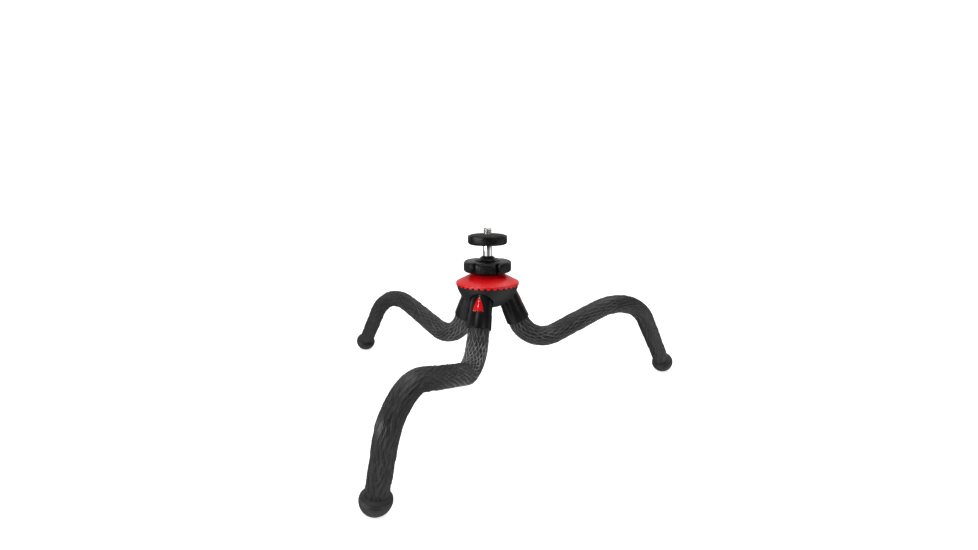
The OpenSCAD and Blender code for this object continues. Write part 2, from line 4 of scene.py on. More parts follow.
import bmesh
import bpy
import numpy as np
from mathutils import Matrix, Vector


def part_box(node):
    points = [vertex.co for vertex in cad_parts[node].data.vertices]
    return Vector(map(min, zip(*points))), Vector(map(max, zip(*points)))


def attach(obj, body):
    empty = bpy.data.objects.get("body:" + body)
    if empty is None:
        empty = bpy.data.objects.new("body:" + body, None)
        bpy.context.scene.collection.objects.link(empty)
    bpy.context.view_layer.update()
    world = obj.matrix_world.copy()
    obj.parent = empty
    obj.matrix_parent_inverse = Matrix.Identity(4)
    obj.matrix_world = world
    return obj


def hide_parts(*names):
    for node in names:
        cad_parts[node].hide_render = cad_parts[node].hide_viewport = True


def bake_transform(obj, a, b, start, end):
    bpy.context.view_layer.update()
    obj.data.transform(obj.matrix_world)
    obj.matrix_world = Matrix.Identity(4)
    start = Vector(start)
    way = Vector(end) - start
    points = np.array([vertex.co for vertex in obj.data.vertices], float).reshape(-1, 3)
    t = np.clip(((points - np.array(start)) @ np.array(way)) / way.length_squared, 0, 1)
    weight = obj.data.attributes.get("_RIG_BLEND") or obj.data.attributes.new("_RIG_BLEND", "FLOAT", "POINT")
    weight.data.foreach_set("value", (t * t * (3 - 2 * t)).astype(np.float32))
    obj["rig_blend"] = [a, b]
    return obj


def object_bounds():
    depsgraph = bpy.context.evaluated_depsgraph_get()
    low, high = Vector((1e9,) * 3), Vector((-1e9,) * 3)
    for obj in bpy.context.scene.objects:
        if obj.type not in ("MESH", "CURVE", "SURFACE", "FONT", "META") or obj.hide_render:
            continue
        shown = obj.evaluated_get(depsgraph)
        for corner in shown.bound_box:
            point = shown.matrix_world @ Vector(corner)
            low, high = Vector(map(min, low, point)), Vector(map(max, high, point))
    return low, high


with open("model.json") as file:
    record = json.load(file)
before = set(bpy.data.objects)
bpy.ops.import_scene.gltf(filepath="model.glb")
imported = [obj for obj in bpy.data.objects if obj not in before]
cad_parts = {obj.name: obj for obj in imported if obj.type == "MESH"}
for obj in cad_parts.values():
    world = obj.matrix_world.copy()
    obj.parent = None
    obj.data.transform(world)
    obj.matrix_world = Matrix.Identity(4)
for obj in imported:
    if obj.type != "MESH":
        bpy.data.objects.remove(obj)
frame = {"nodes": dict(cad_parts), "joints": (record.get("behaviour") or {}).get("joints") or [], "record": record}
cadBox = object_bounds()
mm = 0.001
joints = {j["name"]: j for j in frame["joints"]}
mounts = {m["name"]: m for m in frame["record"]["mounts"]}


# Node trees

class Field:  # a node's output that takes part in arithmetic
    def __init__(self, nodes, socket):
        self.nodes = nodes
        self.socket = socket

    def maths(self, operation, *values):
        return self.nodes.add("ShaderNodeMath", {"operation": operation}, dict(enumerate(values)))

    def __add__(self, other):
        return self.maths("ADD", self, other)

    def __radd__(self, other):
        return self.maths("ADD", other, self)

    def __sub__(self, other):
        return self.maths("SUBTRACT", self, other)

    def __rsub__(self, other):
        return self.maths("SUBTRACT", other, self)

    def __mul__(self, other):
        return self.maths("MULTIPLY", self, other)

    def __rmul__(self, other):
        return self.maths("MULTIPLY", other, self)

    def __truediv__(self, other):
        return self.maths("DIVIDE", self, other)

    def __rtruediv__(self, other):
        return self.maths("DIVIDE", other, self)

    def __mod__(self, other):
        return self.maths("FLOORED_MODULO", self, other)

    def __rmod__(self, other):
        return self.maths("FLOORED_MODULO", other, self)

    def __abs__(self):
        return self.maths("ABSOLUTE", self)

    def floor(self):
        return self.maths("FLOOR", self)

    def least(self, other):
        return self.maths("MINIMUM", self, other)

    def most(self, other):
        return self.maths("MAXIMUM", self, other)

    def cos(self):
        return self.maths("COSINE", self)

    def sin(self):
        return self.maths("SINE", self)

    def smooth(self, low, high):  # 0 below low, 1 above high
        return self.nodes.add("ShaderNodeMapRange", {"interpolation_type": "SMOOTHSTEP"},
                              {"Value": self, "From Min": low, "From Max": high})


class Nodes:  # builds one node tree
    def __init__(self, tree):
        self.tree = tree

    def add(self, kind, settings=None, inputs=None, output=0):
        node = self.tree.nodes.new(kind)
        for name, value in (settings or {}).items():
            if name == "captured":
                node.capture_items.new(value, value.title())
            else:
                setattr(node, name, value)
        for name, value in (inputs or {}).items():
            self.feed(node.inputs[name], value)
        return Field(self, node.outputs[output])

    def feed(self, socket, value):
        if isinstance(value, Field):
            self.tree.links.new(value.socket, socket)
        else:
            socket.default_value = value

    def vector(self, x, y, z):
        return self.add("ShaderNodeCombineXYZ", None, {0: x, 1: y, 2: z})

    def colourMix(self, factor, first, second):  # the first colour may come from another mix
        start = first if isinstance(first, Field) else (*first, 1)
        return self.add("ShaderNodeMix", {"data_type": "RGBA"},
                        {0: factor, 6: start, 7: (*second, 1)}, output=2)

    def spot(self):  # a place on the piece, in metres
        return self.add("ShaderNodeTexCoord", output="Object")

    def noise(self, scale, detail=2.0, roughness=0.5, stretch=None):
        place = self.spot()
        if stretch:
            place = self.add("ShaderNodeMapping", None, {"Vector": place, "Scale": stretch})
        return self.add("ShaderNodeTexNoise", None, {
            "Vector": place, "Scale": scale, "Detail": detail, "Roughness": roughness})

    def attribute(self, name):
        return self.add("ShaderNodeAttribute", {"attribute_name": name}, output="Fac")


def newTree(name, wanted):  # the nodes of a tree that makes a shape, and its named inputs
    tree = bpy.data.node_groups.new(name, "GeometryNodeTree")
    nodes = Nodes(tree)
    tree.interface.new_socket("Geometry", in_out="OUTPUT", socket_type="NodeSocketGeometry")
    for inputName, kind in wanted.items():
        tree.interface.new_socket(inputName, in_out="INPUT", socket_type="NodeSocket" + kind)
    inputs = tree.nodes.new("NodeGroupInput").outputs
    return nodes, {inputName: Field(nodes, inputs[inputName]) for inputName in wanted}


def endTree(nodes, geometry, finish):
    solid = nodes.add("GeometryNodeRealizeInstances", None, {"Geometry": geometry})
    finished = nodes.add("GeometryNodeSetMaterial", None, {"Geometry": solid, "Material": finish})
    nodes.tree.links.new(finished.socket, nodes.tree.nodes.new("NodeGroupOutput").inputs["Geometry"])
    return nodes.tree


# Finishes

def newFinish(name, **constants):
    material = bpy.data.materials.new(name)
    material.use_nodes = True
    shader = material.node_tree.nodes["Principled BSDF"]
    for socket, value in constants.items():
        shader.inputs[socket.replace("_", " ")].default_value = value
    return material, Nodes(material.node_tree), shader


def dress(nodes, shader, colour, roughness, height, depth):
    nodes.feed(shader.inputs["Base Color"], colour)
    nodes.feed(shader.inputs["Roughness"], roughness)
    bump = nodes.add("ShaderNodeBump", None, {"Strength": 1.0, "Distance": depth, "Height": height})
    nodes.feed(shader.inputs["Normal"], bump)


def mouldedPlastic(name, dark, light, gloss, grainSize, grainDepth, wear=0.5, **constants):
    material, nodes, shader = newFinish(name, **constants)
    grain = nodes.noise(1 / grainSize, detail=3)
    clouds = nodes.noise(90, detail=3)
    wearAndHighlight = (nodes.attribute("edge") * nodes.noise(700, detail=4).smooth(0.35, 0.7)) * wear
    colour = nodes.colourMix((clouds.smooth(0.3, 0.75) * 0.5 + wearAndHighlight).least(1), dark, light)
    dress(nodes, shader, colour, gloss + (clouds - 0.5) * 0.12 + (grain - 0.5) * 0.06 - wearAndHighlight * 0.08,
          grain, grainDepth)
    return material


def scaleRubber():
    material, nodes, shader = newFinish("skin rubber", Specular_IOR_Level=0.4)
    relief = nodes.attribute("relief")
    tone = nodes.attribute("tone")
    streak = nodes.attribute("streak")
    grain = nodes.noise(5200, detail=3)
    dust = nodes.noise(160, detail=5).smooth(0.45, 0.8)
    # ridges and streaks painted paler as a painted highlight, cells between darker as painted shade; per-scale
    # tone and dust are the rubber's own
    pale = (relief * 0.6 + streak * 0.25 + tone * 0.1 + dust * 0.1).least(1)
    dark, light, wearAndHighlight = (0.0055, 0.0055, 0.006), (0.058, 0.058, 0.059), (0.6, 0.6, 0.605)
    toneAndSheen = nodes.colourMix(pale, dark, light)
    # paler still where the ridges carry the painted highlight under the leg and round its bends
    colour = nodes.colourMix(relief * nodes.attribute("worn"), toneAndSheen, wearAndHighlight)
    roughness = 0.44 - relief * 0.24 - streak * 0.06 + (tone - 0.5) * 0.12 + (grain - 0.5) * 0.1 + dust * 0.06
    dress(nodes, shader, colour, roughness, grain, 0.03 * mm)
    return material


def footRubber():
    material, nodes, shader = newFinish("foot rubber", Specular_IOR_Level=0.45, Sheen_Weight=0.1)
    grain = nodes.noise(3800, detail=4)
    scuffs = nodes.noise(240, detail=6, roughness=0.65).smooth(0.52, 0.8)
    colour = nodes.colourMix(scuffs * 0.6, (0.013, 0.013, 0.0135), (0.045, 0.044, 0.043))
    dress(nodes, shader, colour, 0.5 + scuffs * 0.2 + (grain - 0.5) * 0.12, grain, 0.04 * mm)
    return material


def padRubber():
    material, nodes, shader = newFinish("pad rubber", Specular_IOR_Level=0.4)
    grain = nodes.noise(2600, detail=4)
    dust = nodes.noise(210, detail=5).smooth(0.5, 0.85)
    colour = nodes.colourMix(dust * 0.5, (0.012, 0.012, 0.012), (0.05, 0.049, 0.047))
    dress(nodes, shader, colour, 0.66 + (grain - 0.5) * 0.2, grain, 0.06 * mm)
    return material


def polishedChrome():
    material, nodes, shader = newFinish("polished chrome", Metallic=1.0)
    hairlines = nodes.noise(420, detail=4, stretch=(1, 1, 14))
    smudge = nodes.noise(260, detail=3).smooth(0.45, 0.75)
    colour = nodes.colourMix(smudge * 0.5, (0.83, 0.84, 0.86), (0.74, 0.75, 0.77))
    dress(nodes, shader, colour, 0.05 + smudge * 0.06 + (hairlines - 0.5) * 0.05, hairlines, 0.004 * mm)
    return material


def platedSteel():
    material, nodes, shader = newFinish("plated steel", Metallic=1.0)
    turning = nodes.noise(900, detail=3, stretch=(1, 1, 6))
    stain = nodes.noise(330, detail=5).smooth(0.4, 0.8)
    colour = nodes.colourMix(stain, (0.63, 0.62, 0.6), (0.42, 0.41, 0.4))
    dress(nodes, shader, colour, 0.26 + stain * 0.16 + (turning - 0.5) * 0.1, turning, 0.01 * mm)
    return material


def bareCore():
    material, nodes, shader = newFinish("core metal", Metallic=1.0)
    dull = nodes.noise(300, detail=5).smooth(0.35, 0.75)
    colour = nodes.colourMix(dull, (0.62, 0.63, 0.65), (0.45, 0.46, 0.48))
    dress(nodes, shader, colour, 0.34 + dull * 0.2, dull, 0.01 * mm)
    return material


def anodisedBlack():
    material, nodes, shader = newFinish("black anodised", Specular_IOR_Level=0.2)
    blast = nodes.noise(4200, detail=3)
    clouds = nodes.noise(120, detail=4).smooth(0.35, 0.75)
    wearAndHighlight = nodes.attribute("edge") * nodes.noise(900, detail=4).smooth(0.5, 0.72)
    pale = (clouds * 0.4 + wearAndHighlight * 0.6).least(1)
    colour = nodes.colourMix(pale, (0.004, 0.004, 0.0045), (0.02, 0.02, 0.021))
    dress(nodes, shader, colour, 0.26 + (blast - 0.5) * 0.14 + clouds * 0.06, blast, 0.02 * mm)
    return material


finishes = {
    "platform_metal": anodisedBlack(),
    "pad_rubber": padRubber(),
    "screw_steel": platedSteel(),
    "stem_chrome": polishedChrome(),
    "ball_plastic": mouldedPlastic("ball plastic", (0.011, 0.011, 0.012), (0.03, 0.03, 0.031), 0.3,
                                   0.4 * mm, 0.01 * mm),
    "nylon": mouldedPlastic("nylon", (0.72, 0.69, 0.6), (0.82, 0.8, 0.73), 0.45, 0.5 * mm, 0.02 * mm),
    "knob_plastic": mouldedPlastic("knob plastic", (0.004, 0.004, 0.0045), (0.012, 0.012, 0.013), 0.26,
                                   0.22 * mm, 0.018 * mm, wear=0.7, Specular_IOR_Level=0.2),
    "neck_plastic": mouldedPlastic("neck plastic", (0.014, 0.014, 0.015), (0.03, 0.03, 0.032), 0.42,
                                   0.3 * mm, 0.02 * mm),
    "cover_red": mouldedPlastic("red cover", (0.84, 0.004, 0.007), (0.92, 0.007, 0.01), 0.34,
                                0.25 * mm, 0.008 * mm, wear=0.35, Specular_IOR_Level=0.5),
    "hub_plastic": mouldedPlastic("charcoal hub", (0.013, 0.0135, 0.0145), (0.026, 0.027, 0.029), 0.46,
                                  0.2 * mm, 0.03 * mm, wear=0.6, Specular_IOR_Level=0.3),
    "collar_plastic": mouldedPlastic("gloss black", (0.0025, 0.0025, 0.003), (0.006, 0.006, 0.007), 0.32,
                                     0.9 * mm, 0.006 * mm, wear=0.4, Specular_IOR_Level=0.3),
    "inlay_red": mouldedPlastic("red inlay", (0.8, 0.003, 0.006), (0.88, 0.008, 0.01), 0.12,
                                0.8 * mm, 0.003 * mm, wear=0.1, Coat_Weight=0.8, Coat_Roughness=0.04),
    "skin_rubber": scaleRubber(),
    "foot_rubber": footRubber(),
    "core_metal": bareCore(),
}
print("finishes:", len(finishes))


# Meshes

sharpAngle = 50


def newPiece(name, mesh, slot, body=None, replaced=()):
    piece = bpy.data.objects.new(name, mesh)
    bpy.context.scene.collection.objects.link(piece)
    mesh.materials.clear()
    mesh.materials.append(finishes[slot])
    if body:
        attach(piece, body)
    if replaced:
        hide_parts(*replaced)
    return piece


def rounded(corners, steps=6):  # (radius, height, fillet) corners as (radius, height, on a fillet) points
    outline = []
    count = len(corners)
    for i, corner in enumerate(corners):
        here = Vector(corner[:2])
        fillet = corner[2] if len(corner) > 2 else 0
        if not fillet:
            outline.append((*here, 0.0))
            continue
        back = (Vector(corners[i - 1][:2]) - here).normalized()
        ahead = (Vector(corners[(i + 1) % count][:2]) - here).normalized()
        half = back.angle(ahead) / 2
        centre = here + (back + ahead).normalized() * fillet / math.sin(half)
        first = here + back * fillet / math.tan(half) - centre
        last = here + ahead * fillet / math.tan(half) - centre
        turn = first.angle_signed(last)
        for k in range(steps + 1):
            spoke = first.copy()
            spoke.rotate(Matrix.Rotation(-turn * k / steps, 2))
            outline.append((*(centre + spoke), 1.0))
    return outline


def lathe(name, outline, segments, shape=None):  # turns a closed outline about Z, shape may move a point
    bm = bmesh.new()
    edgeLayer = bm.verts.layers.float.new("edge")
    rings = []
    for k in range(segments):
        angle = 2 * math.pi * k / segments
        ring = []
        for radius, height, onFillet in outline:
            if shape:
                radius, height = shape(radius, height, angle)
            vertex = bm.verts.new((radius * math.cos(angle), radius * math.sin(angle), height))
            vertex[edgeLayer] = onFillet
            ring.append(vertex)
        rings.append(ring)
    for k, ring in enumerate(rings):
        following = rings[(k + 1) % segments]
        for i in range(len(ring)):
            j = (i + 1) % len(ring)
            bm.faces.new((ring[i], ring[j], following[j], following[i]))
    bmesh.ops.remove_doubles(bm, verts=bm.verts, dist=1e-7)
    bmesh.ops.dissolve_degenerate(bm, edges=bm.edges, dist=1e-8)
    bmesh.ops.recalc_face_normals(bm, faces=bm.faces)
    return meshFrom(name, bm)


def meshFrom(name, bm, sharp=sharpAngle):
    mesh = bpy.data.meshes.new(name)
    bm.to_mesh(mesh)
    bm.free()
    mesh.shade_smooth()
    mesh.set_sharp_from_angle(angle=math.radians(sharp))
    return mesh


def softEdged(name, node, width, segments=3, limit=32):  # a node's own shape with its sharp edges rounded
    bm = bmesh.new()
    bm.from_mesh(frame["nodes"][node].data)
    bmesh.ops.remove_doubles(bm, verts=bm.verts, dist=2e-6)
    bmesh.ops.dissolve_limit(bm, angle_limit=math.radians(0.6), verts=bm.verts, edges=bm.edges)
    mesh = bpy.data.meshes.new(name)
    bm.to_mesh(mesh)
    bm.free()
    for attribute in [a for a in mesh.attributes if a.name == "custom_normal"]:
        mesh.attributes.remove(attribute)
    mesh.shade_smooth()
    holder = bpy.data.objects.new(name, mesh)
    bpy.context.scene.collection.objects.link(holder)
    bevel = holder.modifiers.new("edges", "BEVEL")
    bevel.width = width
    bevel.segments = segments
    bevel.limit_method = "ANGLE"
    bevel.angle_limit = math.radians(limit)
    bevel.harden_normals = True
    result = evaluated(holder)
    result.set_sharp_from_angle(angle=math.radians(sharpAngle))
    return result


def evaluated(holder):  # the holder's finished shape as a plain mesh, without the holder
    graph = bpy.context.evaluated_depsgraph_get()
    mesh = bpy.data.meshes.new_from_object(holder.evaluated_get(graph))
    mesh.name = holder.name
    bpy.data.objects.remove(holder)
    return mesh


def grown(name, tree, values, start=None):  # the mesh that a tree makes from its named inputs
    holder = bpy.data.objects.new(name, start or bpy.data.meshes.new(name))
    bpy.context.scene.collection.objects.link(holder)
    modifier = holder.modifiers.new(name, "NODES")
    modifier.node_group = tree
    for item in tree.interface.items_tree:
        if item.name in values:
            modifier[item.identifier] = values[item.name]
    return evaluated(holder)


def joined(name, *meshes):
    bm = bmesh.new()
    for mesh in meshes:
        bm.from_mesh(mesh)
    mesh = bpy.data.meshes.new(name)
    bm.to_mesh(mesh)
    bm.free()
    return mesh


# Camera platform

discStyle = {"stemBore": 3.43 * mm, "screwBore": 3.3 * mm, "lowerEdge": 2 * mm, "rimEdge": 0.35 * mm,
             "boreEdge": 0.2 * mm, "padGap": 0.15 * mm, "segments": 160}


def makePlatform():
    low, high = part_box("platform")
    padLow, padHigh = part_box("platform_pad")
    seat = padHigh.x + discStyle["padGap"]
    outline = rounded([
        (discStyle["stemBore"], low.z, discStyle["boreEdge"]), (high.x, low.z, discStyle["lowerEdge"]),
        (high.x, high.z, discStyle["rimEdge"]), (seat, high.z, discStyle["boreEdge"]), (seat, padLow.z),
        (discStyle["screwBore"], padLow.z)])
    newPiece("platform_disc", lathe("platform_disc", outline, discStyle["segments"]), "platform_metal",
             "platform", ["platform"])


padStyle = {"grooves": 3, "grooveWidth": 0.8 * mm, "grooveDepth": 0.4 * mm, "grooveEdge": 0.12 * mm,
            "grooveTaper": 0.7, "hole": 3.475 * mm, "edge": 0.25 * mm, "edgeSteps": 4,
            "screwRadius": 3.175 * mm, "segments": 160}


def makePad():
    low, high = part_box("platform_pad")
    pitch = (high.x + discStyle["padGap"] - padStyle["screwRadius"]) / (padStyle["grooves"] + 1)
    half = padStyle["grooveWidth"] / 2
    bottom = half * padStyle["grooveTaper"]
    edge = padStyle["grooveEdge"]
    corners = [(padStyle["hole"], low.z), (high.x, low.z), (high.x, high.z, padStyle["edge"])]
    for i in range(padStyle["grooves"], 0, -1):
        middle = padStyle["screwRadius"] + i * pitch
        floor = high.z - padStyle["grooveDepth"]
        corners += [(middle + half, high.z, edge), (middle + bottom, floor, edge),
                    (middle - bottom, floor, edge), (middle - half, high.z, edge)]
    corners.append((padStyle["hole"], high.z, padStyle["edge"]))
    outline = rounded(corners, padStyle["edgeSteps"])
    newPiece("pad_rings", lathe("pad_rings", outline, padStyle["segments"]), "pad_rubber",
             "platform", ["platform_pad"])


studStyle = {"pitch": 1.27 * mm, "threadDepth": 0.62 * mm, "tipBevel": 0.8 * mm, "runOut": 0.5 * mm,
             "crestSlope": 1.35, "rootFlat": 0.12, "flange": 1 * mm, "flangeGap": 0.01 * mm,
             "segments": 96, "rows": 130}


def makeStud():
    low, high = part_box("camera_screw")
    radius = mounts["camera_screw"]["dims"]["r_mm"] * mm
    root = radius - studStyle["threadDepth"]
    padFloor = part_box("platform_pad")[0].z

    def thread(plain, height, angle):
        if height < padFloor:
            return plain, height
        phase = (height / studStyle["pitch"] - angle / (2 * math.pi)) % 1
        crest = min(1, max(0, studStyle["crestSlope"] * abs(2 * phase - 1) - studStyle["rootFlat"]))
        started = min(1, max(0, height / studStyle["runOut"]))
        tip = radius - max(0, height - (high.z - studStyle["tipBevel"]))
        return min(root + (radius - root) * crest * started, tip) * (plain / radius), height

    rows = studStyle["rows"]
    wall = [(radius, padFloor + (high.z - padFloor) * i / rows, 0.0) for i in range(1, rows + 1)]
    under, over = padFloor - studStyle["flange"], padFloor - studStyle["flangeGap"]
    base = [(0, low.z, 0.0), (radius, low.z, 0.0), (radius, under, 0.0), (high.x, under, 0.0),
            (high.x, over, 0.0), (radius, over, 0.0)]
    cap = [(radius * share, high.z, 0.0) for share in (0.5, 0.0)]
    mesh = lathe("camera_stud", base + wall + cap, studStyle["segments"], thread)
    newPiece("camera_stud", mesh, "screw_steel", "platform", ["camera_screw"])


# Ball head

stemStyle = {"edge": 0.3 * mm, "segments": 96}


def makeStem():
    low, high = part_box("stem")
    edge = stemStyle["edge"]
    outline = rounded([(0, low.z), (high.x, low.z, edge), (high.x, high.z, edge), (0, high.z)])
    newPiece("polished_stem", lathe("polished_stem", outline, stemStyle["segments"]), "stem_chrome",
             "ball", ["stem"])


knobStyle = {"lobes": 6, "turn": -80, "tipRadius": 17.6 * mm, "edge": 0.5 * mm, "ribsPerLobe": 9,
             "ribStep": 4.2, "ribRadius": 0.42 * mm, "ribSunk": 0.3 * mm, "ribLength": 5.2 * mm,
             "ribMiddle": -0.5 * mm, "ribSides": 12}


def ribTree():  # upright grip ribs on the ends of the knob's lobes
    nodes, size = newTree("gripRibs", {
        "Lobes": "Int", "Ribs": "Int", "Turn": "Float", "Step": "Float", "Radius": "Float",
        "Height": "Float", "Rib Radius": "Float", "Rib Length": "Float", "Rib Sides": "Int",
        "Finish": "Material"})
    index = nodes.add("GeometryNodeInputIndex")
    lobe = (index / size["Ribs"]).floor()
    rib = index % size["Ribs"]
    fromMiddle = (rib - (size["Ribs"] - 1) / 2) * size["Step"]
    angle = size["Turn"] + lobe * (2 * math.pi) / size["Lobes"] + fromMiddle
    place = nodes.vector(angle.cos() * size["Radius"], angle.sin() * size["Radius"], size["Height"])
    points = nodes.add("GeometryNodePoints", None, {"Count": size["Lobes"] * size["Ribs"], "Position": place})
    bar = nodes.add("GeometryNodeMeshCylinder", {"fill_type": "TRIANGLE_FAN"}, {
        "Vertices": size["Rib Sides"], "Side Segments": 1, "Radius": size["Rib Radius"],
        "Depth": size["Rib Length"]})
    bars = nodes.add("GeometryNodeInstanceOnPoints", None, {"Points": points, "Instance": bar})
    return endTree(nodes, bars, size["Finish"])


def makeKnob():
    ballHeight = joints["head_tilt"]["pos_m"][2]
    ribs = grown("gripRibs", ribTree(), {
        "Lobes": knobStyle["lobes"], "Ribs": knobStyle["ribsPerLobe"],
        "Turn": math.radians(knobStyle["turn"]), "Step": math.radians(knobStyle["ribStep"]),
        "Radius": knobStyle["tipRadius"] - knobStyle["ribSunk"],
        "Height": ballHeight + knobStyle["ribMiddle"], "Rib Radius": knobStyle["ribRadius"],
        "Rib Length": knobStyle["ribLength"], "Rib Sides": knobStyle["ribSides"],
        "Finish": finishes["knob_plastic"]})
    body = softEdged("knob", "lock_knob", knobStyle["edge"])
    knob = newPiece("grip_knob", joined("grip_knob", body, ribs), "knob_plastic", "lock_knob", ["lock_knob"])
    knob.data.set_sharp_from_angle(angle=math.radians(sharpAngle))


# Cover and hub

coverStyle = {"topRadius": 11.5 * mm, "throat": 10.1 * mm, "neckHole": 8.65 * mm, "rimHeight": 2.3 * mm,
              "wall": 1.4 * mm, "roofDrop": 0.9 * mm, "flangeDepth": 1.28 * mm, "innerEdge": 0.1 * mm,
              "lowEdge": 0.25 * mm, "rimEdge": 0.7 * mm, "topEdge": 0.45 * mm, "throatEdge": 0.2 * mm,
              "scallops": 32, "scallopHalf": 1.15 * mm, "scallopDepth": 1.1 * mm,
              "scallopInside": 0.1 * mm, "scallopBelow": 0.2 * mm, "stepsPerScallop": 16}


def makeCover():
    s = coverStyle
    low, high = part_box("cover")
    radius = high.x
    edgeHeight = low.z + s["rimHeight"]
    inner = radius - s["wall"]
    pitch = 2 * math.pi / s["scallops"]

    def scalloped(r, z, angle):
        if r < inner - s["scallopInside"] or z > edgeHeight - s["scallopBelow"]:
            return r, z
        away = ((angle + pitch / 2) % pitch - pitch / 2) * radius / s["scallopHalf"]
        notch = math.sqrt(max(0, 1 - away * away)) * s["scallopDepth"]
        share = 1 - (z - low.z) / (edgeHeight - low.z)
        return r, z + notch * max(0, share)

    floor = high.z - s["flangeDepth"]
    corners = [
        (inner, low.z, s["innerEdge"]), (radius, low.z, s["lowEdge"]), (radius, edgeHeight, s["rimEdge"]),
        (s["topRadius"], high.z, s["topEdge"]), (s["throat"], high.z, s["throatEdge"]),
        (s["throat"], floor), (s["neckHole"], floor), (s["neckHole"], floor - s["wall"]),
        (s["topRadius"], floor - s["wall"]), (inner, edgeHeight - s["roofDrop"])]
    segments = s["scallops"] * s["stepsPerScallop"]
    newPiece("red_cover", lathe("red_cover", rounded(corners), segments, scalloped), "cover_red",
             "hub", ["cover"])


hubStyle = {"edge": 0.35 * mm}


def makeHub():
    newPiece("hub_bowl", softEdged("hub_bowl", "hub_body", hubStyle["edge"]), "hub_plastic",
             "hub", ["hub_body"])


# Legs

legStyle = {"length": 190.5 * mm, "collarLean": 24, "collarReach": 24.1 * mm, "collarDrop": 28.4 * mm,
            "topRadius": 8.25 * mm, "endRadius": 6.75 * mm, "footBore": 1.3 * mm, "spigot": 2.5 * mm}
legs = {
    "front": {"azimuth": -90, "run1": 10.5 * mm, "radius1": 22.5 * mm, "roll1": 3, "run2": 69 * mm,
              "angle2": 107, "radius2": 23.5 * mm, "roll2": -10, "run3": 34.3 * mm},
    "right": {"azimuth": 30, "run1": 1.5 * mm, "radius1": 23 * mm, "roll1": 1, "run2": 37.5 * mm,
              "angle2": 82, "radius2": 40 * mm, "roll2": 19, "run3": 57.9 * mm},
    "left": {"azimuth": 150, "run1": 1.5 * mm, "radius1": 30 * mm, "roll1": 2.5, "run2": 43.5 * mm,
             "angle2": 72, "radius2": 49 * mm, "roll2": 2, "run3": 40.4 * mm},
}


def turned(degrees, axis):
    return Matrix.Rotation(math.radians(degrees), 4, axis)


def collarEnd(leg):  # Z runs down the leg, X points to the side that it bends to
    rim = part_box("cover")[0].z
    place = Matrix.Translation((legStyle["collarReach"], 0, rim - legStyle["collarDrop"]))
    return turned(leg["azimuth"], "Z") @ place @ turned(180 - legStyle["collarLean"], "Y") @ turned(180, "Z")


def stretches(name):  # (roll, angle, radius, length) of each run and bend, the first angle from the joints
    leg = legs[name]
    outwards = Vector(joints[name + "_sway_1"]["axis"]).cross(Vector(joints[name + "_bend_1"]["axis"]))
    bend1 = math.degrees(outwards.angle(collarEnd(leg).col[2].to_3d()))
    arc1 = math.radians(bend1) * leg["radius1"]
    arc2 = math.radians(leg["angle2"]) * leg["radius2"]
    share = legStyle["length"] / (leg["run1"] + arc1 + leg["run2"] + arc2 + leg["run3"])
    return [(0, 0, 0, leg["run1"] * share),
            (leg["roll1"], bend1, leg["radius1"] * share, arc1 * share),
            (0, 0, 0, leg["run2"] * share),
            (180 + leg["roll2"], leg["angle2"], leg["radius2"] * share, arc2 * share),
            (0, 0, 0, leg["run3"] * share)]


def along(stretch, distance):
    roll, angle, radius = stretch[:3]
    if not angle:
        return Matrix.Translation((0, 0, distance))
    swing = distance / radius
    place = Matrix.Translation((radius * (1 - math.cos(swing)), 0, radius * math.sin(swing)))
    return turned(roll, "Z") @ place @ Matrix.Rotation(swing, 4, "Y") @ turned(-roll, "Z")


def legStarts(name):
    starts = [collarEnd(legs[name])]
    for stretch in stretches(name):
        starts.append(starts[-1] @ along(stretch, stretch[3]))
    return starts


skinStyle = {
    "cellsRound": 18, "cellLength": 9.5 * mm, "depth": 0.9 * mm, "tilt": 0.7, "warp": 0.4, "calm": 0.7,
    "ridge": 0.17, "streakLength": 24 * mm, "squeezeReach": 10, "proud": 0.15 * mm, "ringPoints": 240,
    "ringStep": 0.5 * mm, "seed": 11,
    "warpRound": (1.6, 12 * mm, 0.0), "warpAlong": (1.8, 14 * mm, 7.0), "ridgeFade": (1.7, 9 * mm),
    "ridgeOffsets": (13.0, 17.0), "fadeEdges": (0.36, 0.6), "faintRidge": 0.35, "streakLaps": 2.4,
    "streakOffset": 3.0, "streakEdges": (0.36, 0.66), "squeezeEdges": (-0.18, 0.24), "netShare": 0.75,
    # where and how strongly, per leg, the ridges get a painted highlight and fuller relief
    "highlightFrom": 62 * mm, "highlightTo": 125 * mm, "highlightUnder": (-0.6, 0.4), "highlightBend": (0.08, 0.3),
    "highlightAtBend": 0.6, "worn": {"front": 1.0, "right": 0.4, "left": 0.45}}


